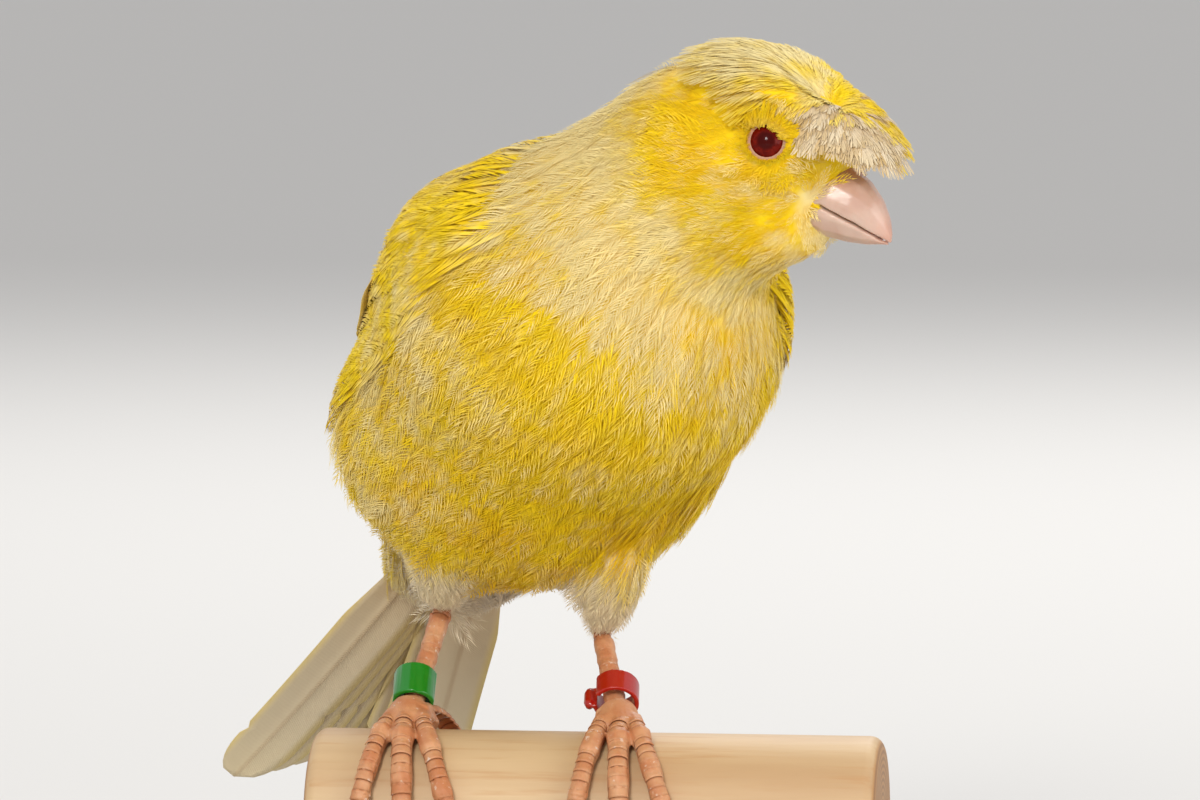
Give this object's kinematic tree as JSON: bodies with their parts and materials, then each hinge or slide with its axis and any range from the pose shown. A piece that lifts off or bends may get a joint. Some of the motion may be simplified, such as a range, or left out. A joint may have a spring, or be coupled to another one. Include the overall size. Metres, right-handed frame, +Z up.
{
  "type": "crested canary",
  "caption": "Still, life-size museum model of a crested yellow canary that grips a short round perch on a plain display stand.",
  "frame": {"origin": "middle of the underside of the stand's base", "axes": "+Z up, -Y toward the viewer whom the bird faces, +X to that viewer's right"},
  "size_m": [0.092, 0.0975, 0.1014],
  "materials": {
    "feather_yellow": "soft matt feathers, strong yellow with pale tips",
    "feather_pale": "matt cream to buff feathers",
    "bill": "smooth waxy pale pink horn",
    "leg_skin": "scaly flesh-orange skin",
    "claw": "smooth pale horn",
    "eye": "wet dark red-brown",
    "ring_green": "glossy green coat",
    "ring_red": "glossy red",
    "perch_wood": "plain turned pale wood",
    "base_wood": "satin dark wood",
    "rod_steel": "brushed"
  },
  "bodies": {
    "root": {"torso": "feather_yellow", "neck": "feather_yellow", "head": "feather_yellow", "bill_upper": "bill", "bill_lower": "bill", "tail": "feather_pale", "ring_green": "ring_green", "ring_red": "ring_red", "perch": "perch_wood", "stand_base": "base_wood", "stand_rod_left": "rod_steel", "stand_rod_right": "rod_steel", "eye_left": "eye", "wing_left": "feather_pale", "thigh_left": "feather_pale", "shank_left": "leg_skin", "foot_left": "leg_skin", "claw_left_inner": "claw", "claw_left_middle": "claw", "claw_left_outer": "claw", "claw_left_hind": "claw", "eye_right": "eye", "wing_right": "feather_pale", "thigh_right": "feather_pale", "shank_right": "leg_skin", "foot_right": "leg_skin", "claw_right_inner": "claw", "claw_right_middle": "claw", "claw_right_outer": "claw", "claw_right_hind": "claw"}
  },
  "joints": []
}
